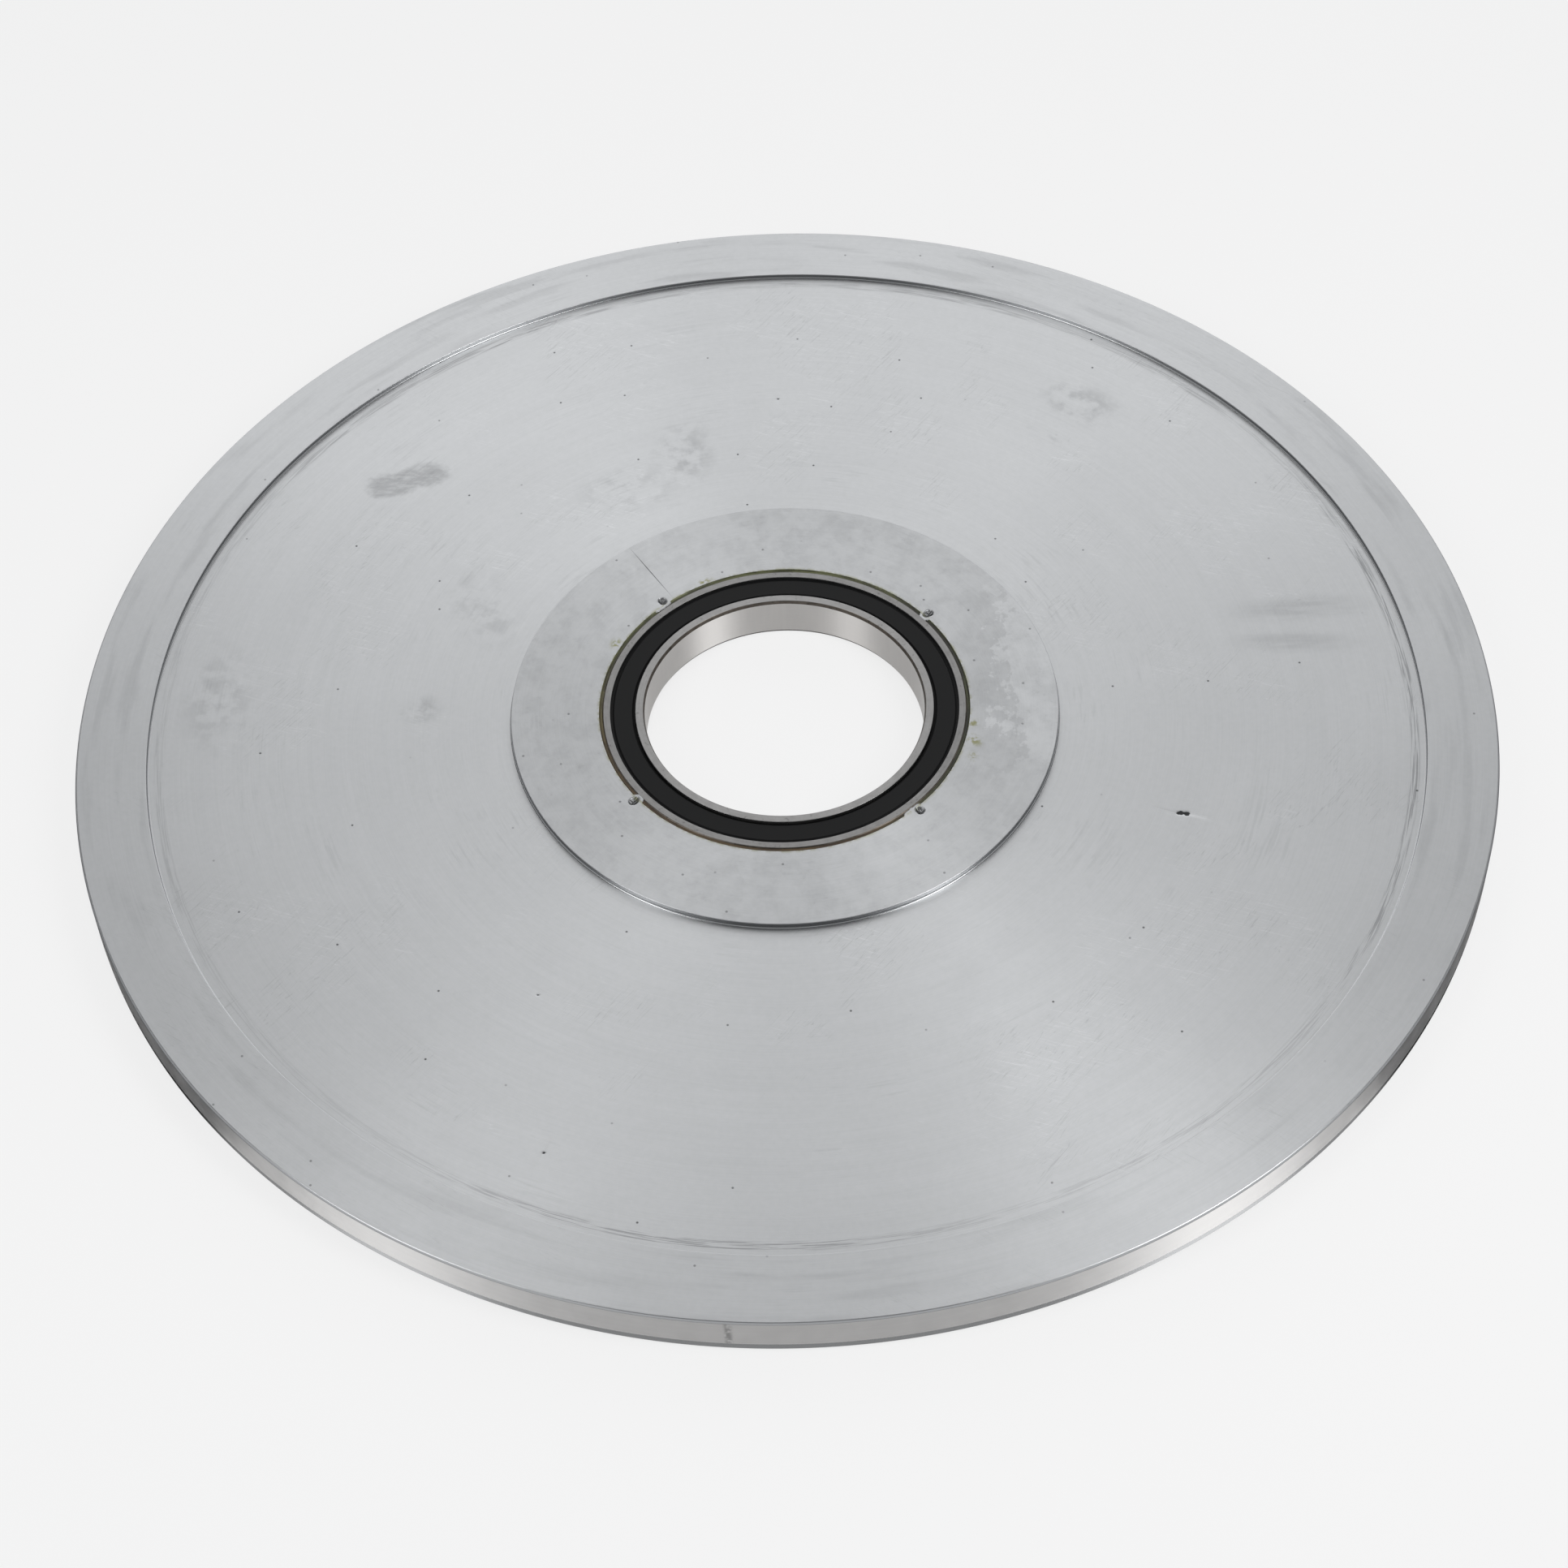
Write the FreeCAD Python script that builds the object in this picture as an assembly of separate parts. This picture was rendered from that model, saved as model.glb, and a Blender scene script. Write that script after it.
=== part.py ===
import FreeCAD, Part
import os
from math import cos, pi, radians, sin, sqrt

# Turned aluminium disc with a sealed thin-section deep-groove ball bearing bonded and staked in
# its hub. Millimetres, +Z up along the bore axis, origin at the centre of the underside.

V = FreeCAD.Vector

# Disc
disc_diameter = 277.5
hub_height = 9.0
rim_height = 8.7
web_top = 7.7
web_bottom = 1.0
recess_radius = 124.95
hub_radius = 53.7
rim_chamfer = 0.3
land_height = 1.7
land_step = 0.05
foot_round = 0.5
edge_break = 0.12
corner_round = 0.3
seat_chamfer = 0.3
bond_gap = 0.06

# Stakes: punched dimples that push a tongue of the hub over the joint
stake_angles = (37.6, 129.3, 217.4, 312.1)
stake_radius = 37.55
stake_sphere = 1.35
stake_depth = 0.55
tongue_width = 1.6
tongue_reach = 0.38
tongue_clearance = 0.03
tongue_nose = 0.1
tongue_slope = 0.25
tongue_root = 0.5
tongue_top_drop = 0.015
tongue_belly_drop = 0.01
tongue_root_drop = 0.05

# Bearing boundary dimensions
bearing_bore = 55.0
bearing_outside = 72.0
bearing_width = 9.0
ring_chamfer = 0.45

# Rolling elements
ball_count = 22
ball_diameter = 4.7625
pitch_diameter = 63.5
race_clearance = 0.01
groove_radius = 2.5
outer_land_radius = 33.25
inner_land_radius = 30.25

# Seal seats and seals, with depths measured down from the bearing face
outer_lip_radius = 34.25
outer_lip_depth = 0.45
seal_seat_radius = 34.75
seal_seat_depth = 1.3
inner_step_radius = 29.3
inner_step_depth = 1.45
step_taper = 0.25
edge_bevel = 0.1
seal_face_depth = 0.32
seal_lip_clearance = 0.08
seal_lip_top_depth = 0.86
seal_lip_bottom_depth = 1.02
insert_inner_radius = 30.6
insert_outer_radius = 33.8
insert_top_depth = 0.72
insert_bottom_depth = 1.06

# Seal outline as (radius, depth below the bearing face): from the lip up over the face, down
# into the channel and round the bead that snaps into the outer ring, then back under the lip
seal_inner_shoulder = ((29.78, 0.72), (29.95, 0.42), (30.05, seal_face_depth))
seal_outer_shoulder = ((33.50, seal_face_depth), (33.60, 0.42), (33.75, 0.66))
seal_bead = (
    (34.20, 0.70),
    (34.45, 0.62),
    (34.68, 0.66),
    (34.72, 0.80),
    (34.72, 1.16),
    (34.58, seal_seat_depth),
    (33.95, seal_seat_depth),
)
seal_lip_back = ((30.20, 1.16), (29.75, 1.12))

# Cage
cage_inner_radius = 30.65
cage_outer_radius = 32.85
cage_thickness = 0.42
pocket_clearance = 0.1
pocket_headroom = 0.5
rivet_radius = 0.45
rivet_head_radius = 0.8
rivet_head_height = 0.3

# Retaining compound: depth of its surface below the bearing face, and how far the middle sags
bead_depth = 0.18
bead_sag = 0.03

bore_radius = bearing_bore / 2
ring_radius = bearing_outside / 2
seat_radius = ring_radius + bond_gap
ball_radius = ball_diameter / 2
pitch_radius = pitch_diameter / 2
mid_height = bearing_width / 2
axis_z = V(0, 0, 1)


def section_face(points):
    """Face in the XZ plane from (radius, height) points; a 4-tuple adds an arc through its
    first pair that ends at its second pair."""
    edges = []
    start = V(points[0][0], 0, points[0][1])
    first = start
    for point in points[1:]:
        end = V(point[-2], 0, point[-1])
        if len(point) == 4:
            edges.append(Part.Arc(start, V(point[0], 0, point[1]), end).toShape())
        else:
            edges.append(Part.makeLine(start, end))
        start = end
    if start.distanceToPoint(first) > 1e-7:
        edges.append(Part.makeLine(start, first))
    return Part.Face(Part.Wire(edges))


def turned(points):
    """Solid of revolution about the bore axis."""
    return section_face(points).revolve(V(0, 0, 0), axis_z, 360)


def concave(radius, height, size, turn):
    """Middle of a quarter-circle fillet whose centre is at (radius, height)."""
    return radius + size * cos(radians(turn)), height + size * sin(radians(turn))


def mirrored(shape):
    """The same shape on the other side of the bearing's middle plane."""
    return shape.mirror(V(0, 0, mid_height), axis_z)


def polar(shape, angle):
    """Copy turned about the bore axis."""
    copy = shape.copy()
    copy.rotate(V(0, 0, 0), axis_z, angle)
    return copy


def one_solid(shape):
    """The single solid that a boolean operation leaves."""
    if len(shape.Solids) != 1:
        raise ValueError("expected one solid, found %d" % len(shape.Solids))
    return shape.Solids[0]


def stake_tongue():
    """Lip of hub metal pushed inward over the bearing's outer chamfer, along +X."""
    root = seat_radius + tongue_root
    tip = ring_radius - tongue_reach
    chamfer_line = ring_radius + bearing_width - ring_chamfer + tongue_clearance
    nose = tip + tongue_nose
    top = hub_height - tongue_top_drop
    under = chamfer_line - nose
    face = section_face([
        (root, under - tongue_root_drop),
        (seat_radius + tongue_nose, under - tongue_belly_drop),
        (nose, under),
        (tip, chamfer_line - tip),
        (tip + tongue_slope, top),
        (root, top),
    ])
    face.translate(V(0, -tongue_width / 2, 0))
    return face.extrude(V(0, tongue_width, 0))


def build_disc():
    """Rim, web, hub and bearing seat in one turned blank, then the four stakes."""
    edge = disc_diameter / 2
    land = edge - land_step
    b, c = edge_break, corner_round
    half = sqrt(0.5)
    profile = [
        (seat_radius, seat_chamfer),
        (seat_radius, hub_height - seat_chamfer),
        (seat_radius + seat_chamfer, hub_height),
        (hub_radius - b, hub_height),
        (hub_radius, hub_height - b),
        (hub_radius, web_top + c),
        concave(hub_radius + c, web_top + c, c, 225) + (hub_radius + c, web_top),
        (recess_radius - c, web_top),
        concave(recess_radius - c, web_top + c, c, 315) + (recess_radius, web_top + c),
        (recess_radius, rim_height - b),
        (recess_radius + b, rim_height),
        (edge - rim_chamfer, rim_height),
        (edge, rim_height - rim_chamfer),
        (edge, land_height + land_step),
        (land, land_height),
        (land, foot_round),
        (land - foot_round * (1 - half), foot_round * (1 - half), land - foot_round, 0),
        (recess_radius + b, 0),
        (recess_radius, b),
        (recess_radius, web_bottom - c),
        concave(recess_radius - c, web_bottom - c, c, 45) + (recess_radius - c, web_bottom),
        (hub_radius + c, web_bottom),
        concave(hub_radius + c, web_bottom - c, c, 135) + (hub_radius, web_bottom - c),
        (hub_radius, b),
        (hub_radius - b, 0),
        (seat_radius + seat_chamfer, 0),
    ]
    disc = turned(profile)
    dimple = Part.makeSphere(stake_sphere, V(stake_radius, 0, hub_height + stake_sphere - stake_depth))
    tongues = [polar(stake_tongue(), angle) for angle in stake_angles]
    dimples = [polar(dimple, angle) for angle in stake_angles]
    return one_solid(disc.fuse(tongues).cut(dimples))


def build_outer_ring():
    """Outer race, with a snap groove for a seal at each face."""
    groove_centre = pitch_radius + ball_radius + race_clearance - groove_radius
    half_opening = sqrt(groove_radius ** 2 - (outer_land_radius - groove_centre) ** 2)
    top = bearing_width
    profile = [
        (outer_lip_radius + edge_bevel, 0),
        (outer_lip_radius, edge_bevel),
        (outer_lip_radius, outer_lip_depth),
        (seal_seat_radius, outer_lip_depth + edge_bevel),
        (seal_seat_radius, seal_seat_depth),
        (outer_land_radius, seal_seat_depth),
        (outer_land_radius, mid_height - half_opening),
        (groove_centre + groove_radius, mid_height, outer_land_radius, mid_height + half_opening),
        (outer_land_radius, top - seal_seat_depth),
        (seal_seat_radius, top - seal_seat_depth),
        (seal_seat_radius, top - outer_lip_depth - edge_bevel),
        (outer_lip_radius, top - outer_lip_depth),
        (outer_lip_radius, top - edge_bevel),
        (outer_lip_radius + edge_bevel, top),
        (ring_radius - ring_chamfer, top),
        (ring_radius, top - ring_chamfer),
        (ring_radius, ring_chamfer),
        (ring_radius - ring_chamfer, 0),
    ]
    return turned(profile)


def build_inner_ring():
    """Inner race, stepped down at each face where the seal lip runs."""
    groove_centre = pitch_radius - ball_radius - race_clearance + groove_radius
    half_opening = sqrt(groove_radius ** 2 - (groove_centre - inner_land_radius) ** 2)
    top = bearing_width
    profile = [
        (bore_radius + ring_chamfer, 0),
        (bore_radius, ring_chamfer),
        (bore_radius, top - ring_chamfer),
        (bore_radius + ring_chamfer, top),
        (inner_step_radius - edge_bevel, top),
        (inner_step_radius, top - edge_bevel),
        (inner_step_radius, top - inner_step_depth),
        (inner_land_radius, top - inner_step_depth - step_taper),
        (inner_land_radius, mid_height + half_opening),
        (groove_centre - groove_radius, mid_height, inner_land_radius, mid_height - half_opening),
        (inner_land_radius, inner_step_depth + step_taper),
        (inner_step_radius, inner_step_depth),
        (inner_step_radius, edge_bevel),
        (inner_step_radius - edge_bevel, 0),
    ]
    return turned(profile)


def build_upper_seal():
    """Rubber seal: bead in the outer ring's groove, face, and a lip that runs on the inner ring."""
    lip = inner_step_radius + seal_lip_clearance
    outline = [
        (lip, seal_lip_bottom_depth),
        (lip, seal_lip_top_depth),
        *seal_inner_shoulder,
        *seal_outer_shoulder,
        *seal_bead,
        (insert_outer_radius, insert_bottom_depth),
        (insert_outer_radius, insert_top_depth),
        (insert_inner_radius, insert_top_depth),
        (insert_inner_radius, insert_bottom_depth),
        *seal_lip_back,
    ]
    return turned([(radius, bearing_width - depth) for radius, depth in outline])


def build_upper_insert():
    """Steel washer that stiffens the seal from behind."""
    top = bearing_width - insert_top_depth
    bottom = bearing_width - insert_bottom_depth
    return turned([
        (insert_inner_radius, bottom),
        (insert_inner_radius, top),
        (insert_outer_radius, top),
        (insert_outer_radius, bottom),
    ])


def build_compound():
    """Cured compound: a film between the ring and its seat, with a bead in the V at each end."""
    foot = bearing_width - ring_chamfer
    level = bearing_width - bead_depth
    hub_corner = bearing_width - seat_chamfer
    upper = [
        (seat_radius, hub_corner),
        (seat_radius + level - hub_corner, level),
        (ring_radius, level - bead_sag),
        (ring_radius - (level - foot), level),
        (ring_radius, foot),
    ]
    lower = [(radius, bearing_width - height) for radius, height in reversed(upper)]
    return turned(upper + lower)


def build_cage_upper_half():
    """Flat ribbon with a domed pocket over each ball; its pads lie on the middle plane."""
    inner_pocket = ball_radius + pocket_clearance
    outer_pocket = inner_pocket + cage_thickness
    reach = outer_pocket + pocket_headroom
    centre = V(pitch_radius, 0, mid_height)
    base = V(0, 0, mid_height)
    band = Part.makeCylinder(cage_outer_radius, reach, base)
    band = band.cut(Part.makeCylinder(cage_inner_radius, reach, base))
    ribbon = Part.makeCylinder(cage_outer_radius, cage_thickness, base)
    ribbon = ribbon.cut(Part.makeCylinder(cage_inner_radius, cage_thickness, base))
    domes, hollows, holes = [], [], []
    step = 360.0 / ball_count
    hole_start = V(pitch_radius, 0, mid_height - cage_thickness / 2)
    hole = Part.makeCylinder(rivet_radius, 2 * cage_thickness, hole_start)
    for index in range(ball_count):
        angle = index * step
        domes.append(polar(Part.makeSphere(outer_pocket, centre), angle))
        hollows.append(polar(Part.makeSphere(inner_pocket, centre), angle))
        holes.append(polar(hole, angle + step / 2))
    half = ribbon.fuse(domes).common(band)
    return one_solid(half.cut(hollows + holes).removeSplitter())


def build_rivets():
    """One rivet through the pads between each pair of balls."""
    top = mid_height + cage_thickness
    bottom = mid_height - cage_thickness
    shank = Part.makeCylinder(rivet_radius, top - bottom, V(0, 0, bottom))
    sphere = (rivet_head_radius ** 2 + rivet_head_height ** 2) / (2 * rivet_head_height)
    dome = Part.makeSphere(sphere, V(0, 0, top + rivet_head_height - sphere))
    slab = Part.makeCylinder(2 * rivet_head_radius, rivet_head_height, V(0, 0, top))
    head = dome.common(slab)
    rivet = shank.fuse([head, mirrored(head)]).removeSplitter()
    rivet.translate(V(pitch_radius, 0, 0))
    step = 360.0 / ball_count
    solids = [one_solid(polar(rivet, (index + 0.5) * step)) for index in range(ball_count)]
    return Part.makeCompound(solids)


def build_ball(index):
    """One ball at its place on the pitch circle."""
    angle = 2 * pi * index / ball_count
    return Part.makeSphere(ball_radius, V(pitch_radius * cos(angle), pitch_radius * sin(angle), mid_height))


def main():
    upper_seal = build_upper_seal()
    upper_insert = build_upper_insert()
    upper_cage = build_cage_upper_half()
    parts = {
        "disc": build_disc(),
        "outer_ring": build_outer_ring(),
        "inner_ring": build_inner_ring(),
        "upper_seal": upper_seal,
        "lower_seal": mirrored(upper_seal),
        "upper_seal_insert": upper_insert,
        "lower_seal_insert": mirrored(upper_insert),
        "retaining_compound": build_compound(),
        "cage_upper_half": upper_cage,
        "cage_lower_half": mirrored(upper_cage),
        "cage_rivets": build_rivets(),
    }
    for index in range(ball_count):
        parts["ball_%02d" % (index + 1)] = build_ball(index)
    os.makedirs("parts", exist_ok=True)
    for name, shape in parts.items():
        if not shape.isValid():
            raise ValueError("%s is not valid" % name)
        shape.exportStep("parts/%s.step" % name)
        print("%-20s solids %2d  volume %.3f mm3" % (name, len(shape.Solids), shape.Volume))


main()
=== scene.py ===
from collections import namedtuple
from math import atan2, cos, degrees, hypot, pi, radians, sin, tau

import bpy
import numpy as np
from mathutils import Matrix, Vector


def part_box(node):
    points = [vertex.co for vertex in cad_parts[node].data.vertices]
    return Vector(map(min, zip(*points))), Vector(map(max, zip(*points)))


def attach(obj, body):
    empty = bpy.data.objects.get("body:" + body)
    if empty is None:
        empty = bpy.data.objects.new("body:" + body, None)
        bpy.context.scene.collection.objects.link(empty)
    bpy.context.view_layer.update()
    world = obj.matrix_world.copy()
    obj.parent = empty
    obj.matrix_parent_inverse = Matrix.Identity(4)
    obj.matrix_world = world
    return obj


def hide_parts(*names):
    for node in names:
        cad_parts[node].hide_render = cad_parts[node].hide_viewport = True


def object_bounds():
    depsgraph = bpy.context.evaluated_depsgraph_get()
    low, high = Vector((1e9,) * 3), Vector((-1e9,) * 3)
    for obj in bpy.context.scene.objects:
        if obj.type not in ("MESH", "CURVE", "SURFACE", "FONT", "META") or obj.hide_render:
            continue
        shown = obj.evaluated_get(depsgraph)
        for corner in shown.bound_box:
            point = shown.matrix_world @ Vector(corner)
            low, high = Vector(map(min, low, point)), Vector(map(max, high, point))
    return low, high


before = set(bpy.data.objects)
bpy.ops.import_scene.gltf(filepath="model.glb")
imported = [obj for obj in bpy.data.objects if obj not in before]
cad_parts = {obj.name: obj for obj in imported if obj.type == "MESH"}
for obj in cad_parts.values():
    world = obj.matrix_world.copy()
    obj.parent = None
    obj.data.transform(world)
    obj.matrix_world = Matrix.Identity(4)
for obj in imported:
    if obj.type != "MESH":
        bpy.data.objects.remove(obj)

# Looks for a turned aluminium disc with a sealed ball bearing bonded and staked in its hub.
# Shapes are written in millimetres in the part's own frame, and lathe() turns them to metres.
MM = 0.001
cad_low, cad_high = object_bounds()

# ---------------------------------------------------------------- sizes

disc_low, disc_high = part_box("disc")
disc_edge = min(-disc_low.x, -disc_low.y, disc_high.x, disc_high.y) / MM
hub_top = disc_high.z / MM
ring_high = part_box("outer_ring")[1]
ring_outside = ring_high.x / MM
ring_top = ring_high.z / MM
seal_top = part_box("upper_seal")[1].z / MM

rim_top = 8.7
web_top = 7.7
web_bottom = 1.0
recess_radius = 124.95
hub_radius = 53.7
film_thickness = 0.06
seat_radius = ring_outside + film_thickness
seat_chamfer = 0.3
rim_chamfer = 0.3
edge_break = 0.12
corner_round = 0.3
land_height = 1.7
land_step = 0.05
foot_round = 0.5

bore_radius = 27.5
ring_chamfer = 0.45
outer_lip_radius = 34.25
inner_step_radius = 29.3
lip_corner = 0.08
chamfer_ease = 0.06
ball_circle_radius = 31.75
ball_radius = 2.38125
ball_play = 0.01
race_groove_radius = 2.5
outer_land_radius = 33.25
inner_land_radius = 30.25
seal_groove_radius = 34.75
seal_groove_drop = 1.3

stake_angles = (37.6, 129.3, 217.4, 312.1)
stake_radius = 37.55
stake_opening = 0.95
stake_depth = 0.52
tongue_half_width = 0.95
tongue_pull = 0.44
tongue_lift = 0.08
tongue_root = 1.6
tongue_fade = 1.3

# Marks in the web's upper face; tilt is the direction of the length, in degrees
Mark = namedtuple("Mark", "x y length width depth tilt")
marks = (
    Mark(74.8, -29.9, 1.00, 0.50, 0.16, 0),
    Mark(76.0, -30.1, 0.60, 0.50, 0.20, 12),
    Mark(-45.9, -101.3, 0.42, 0.26, 0.14, 20),
    Mark(-47.5, -66.7, 0.34, 0.22, 0.12, 0),
    Mark(1.3, 87.1, 0.40, 0.24, 0.12, 8),
)
mark_spacing = 0.14

# ---------------------------------------------------------------- turned shapes

GUARD = 0.045  # distance from a bend to its support ring
FLAT_TURN = 2.0  # degrees of bend that need no support
SMOOTH_TURN = 32.0  # degrees of bend above which an edge is sharp


class Section:
    """Closed outline in (radius, height), clockwise, with a finish for every stretch."""

    def __init__(self, radius, height):
        self.points = [(radius, height)]
        self.finishes = []

    def to(self, radius, height, finish, steps=1):
        """Straight to a point, in equal steps."""
        start = self.points[-1]
        for step in range(1, steps + 1):
            share = step / steps
            self.points.append((
                start[0] + (radius - start[0]) * share,
                start[1] + (height - start[1]) * share,
            ))
            self.finishes.append(finish)
        return self

    def rings(self, radii, finish):
        """Along a level face through the given radii."""
        for radius in radii:
            self.points.append((radius, self.points[-1][1]))
            self.finishes.append(finish)
        return self

    def turn(self, centre, degrees_turned, finish, steps=5):
        """Round an arc about centre, anticlockwise when the angle is positive."""
        radius, height = self.points[-1]
        reach = hypot(radius - centre[0], height - centre[1])
        start = atan2(height - centre[1], radius - centre[0])
        for step in range(1, steps + 1):
            angle = start + radians(degrees_turned) * step / steps
            self.points.append((centre[0] + reach * cos(angle), centre[1] + reach * sin(angle)))
            self.finishes.append(finish)
        return self

    def guarded(self):
        """Points and finishes with a support ring beside every smooth bend, and which turns are sharp."""
        points = np.array(self.points[:-1])
        count = len(points)
        along = np.roll(points, -1, 0) - points
        lengths = np.hypot(along[:, 0], along[:, 1])
        heading = np.degrees(np.arctan2(along[:, 1], along[:, 0]))
        turned = np.abs((heading - np.roll(heading, 1) + 180) % 360 - 180)
        out, finishes, sharp = [], [], []
        for i in range(count):
            bend, next_bend = turned[i], turned[(i + 1) % count]
            out.append(points[i])
            finishes.append(self.finishes[i])
            sharp.append(bend > SMOOTH_TURN)
            if lengths[i] < 4 * GUARD:
                continue
            step = along[i] / lengths[i] * GUARD
            if FLAT_TURN < bend <= SMOOTH_TURN:
                out.append(points[i] + step)
                finishes.append(self.finishes[i])
                sharp.append(False)
            if FLAT_TURN < next_bend <= SMOOTH_TURN:
                out.append(points[i] + along[i] - step)
                finishes.append(self.finishes[i])
                sharp.append(False)
        return np.array(out), finishes, np.array(sharp)


def even_angles(count):
    return np.arange(count) * tau / count


def with_fine(angles, centres, half_width, step):
    """The angles, with closer ones about each centre; all in radians."""
    extra = [centre + np.arange(-half_width, half_width + step / 2, step) for centre in centres]
    merged = np.sort(np.concatenate([angles, *extra]) % tau)
    keep = np.concatenate([[True], np.diff(merged) > step * 0.45])
    return merged[keep]


def lathe(name, section, angles, looks, bend=None):
    """Closed mesh from a section turned about the axis; bend may move its points."""
    points, finishes, sharp = section.guarded()
    slots = list(dict.fromkeys(finishes))
    across, around = len(points), len(angles)
    radius = np.repeat(points[None, :, 0], around, 0)
    height = np.repeat(points[None, :, 1], around, 0)
    angle = np.repeat(angles[:, None], across, 1)
    if bend:
        radius, height = bend(radius, height, angle)
    places = np.stack([radius * np.cos(angle), radius * np.sin(angle), height], -1) * MM
    i = np.repeat(np.arange(around), across)
    j = np.tile(np.arange(across), around)
    i_next, j_next = (i + 1) % around, (j + 1) % across
    quads = np.stack([i * across + j, i * across + j_next, i_next * across + j_next, i_next * across + j], -1)
    mesh = bpy.data.meshes.new(name)
    mesh.from_pydata(places.reshape(-1, 3).tolist(), [], quads.tolist())
    for finish in slots:
        mesh.materials.append(looks[finish])
    order = np.array([slots.index(finish) for finish in finishes], np.int32)
    mesh.polygons.foreach_set("material_index", order[j])
    mesh.polygons.foreach_set("use_smooth", np.ones(len(quads), bool))
    ends = np.zeros(len(mesh.edges) * 2, np.int32)
    mesh.edges.foreach_get("vertices", ends)
    row = ends.reshape(-1, 2) % across
    creased = (row[:, 0] == row[:, 1]) & sharp[row[:, 0]]
    mesh.attributes.new("sharp_edge", "BOOLEAN", "EDGE").data.foreach_set("value", creased)
    mesh.update()
    piece = bpy.data.objects.new(name, mesh)
    bpy.context.scene.collection.objects.link(piece)
    return piece


def smooth_step(value):
    clipped = np.clip(value, 0, 1)
    return clipped * clipped * (3 - 2 * clipped)


def angle_from(angle, centre_degrees):
    """Signed angle, in radians, from a centre to each angle."""
    return (angle - radians(centre_degrees) + pi) % tau - pi


def stake_hub(radius, height, angle):
    """Punch the stakes into the hub face and push a tongue of metal in over the joint."""
    new_radius, new_height = radius.copy(), height.copy()
    touch = 0.01
    moving_reach = 2.4
    steepness = 1.5
    flat_depth, ridge_depth = 0.62, 0.55
    half_flats, twist = 1.5, 0.9
    on_top = height > hub_top - touch
    upper_seat = (height > hub_top - seat_chamfer - touch) & (radius < seat_radius + moving_reach)
    for number, centre in enumerate(stake_angles):
        side = angle_from(angle, centre)
        forward = radius * np.cos(side) - stake_radius
        sideways = radius * np.sin(side)
        reach = np.hypot(forward, sideways) / stake_opening
        turn = half_flats * np.arctan2(sideways, forward) + twist * number
        facets = flat_depth + ridge_depth * np.abs(np.sin(turn))
        cup = np.clip((1 - reach) * steepness, 0, 1) * facets
        new_height -= np.where(on_top, stake_depth * cup, 0)
        width = smooth_step((tongue_half_width * 1.5 - np.abs(sideways)) / (tongue_half_width * 0.9))
        climb = np.clip((height - (hub_top - seat_chamfer)) / seat_chamfer, 0, 1)
        inward = np.clip((seat_radius + tongue_root - radius) / tongue_fade, 0, 1)
        bulge = 0.45 + 0.55 * np.sin(pi * np.clip(climb * 0.55 + 0.1, 0, 1))
        pull = tongue_pull * width * inward * bulge
        lift = tongue_lift * width * (1 - climb) * (climb > 0.001)
        new_radius -= np.where(upper_seat, pull * np.clip(climb * 3, 0, 1), 0)
        new_height += np.where(upper_seat, lift, 0)
    return new_radius, np.minimum(new_height, hub_top)


def mark_web(radius, height, angle):
    """Press the nick and the pits into the web's upper face."""
    new_height = height.copy()
    x, y = radius * np.cos(angle), radius * np.sin(angle)
    on_web = np.abs(height - web_top) < 0.001
    for mark in marks:
        cosine, sine = cos(radians(mark.tilt)), sin(radians(mark.tilt))
        along = ((x - mark.x) * cosine + (y - mark.y) * sine) / mark.length
        across = ((y - mark.y) * cosine - (x - mark.x) * sine) / mark.width
        ragged = 1 + 0.3 * np.sin(9 * along + 4 * across)
        dent = np.exp(-((along ** 2 + across ** 2) * ragged) * 1.6)
        new_height -= np.where(on_web, mark.depth * dent, 0)
    return radius, new_height


def bend_disc(radius, height, angle):
    radius, height = stake_hub(radius, height, angle)
    return mark_web(radius, height, angle)


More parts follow.
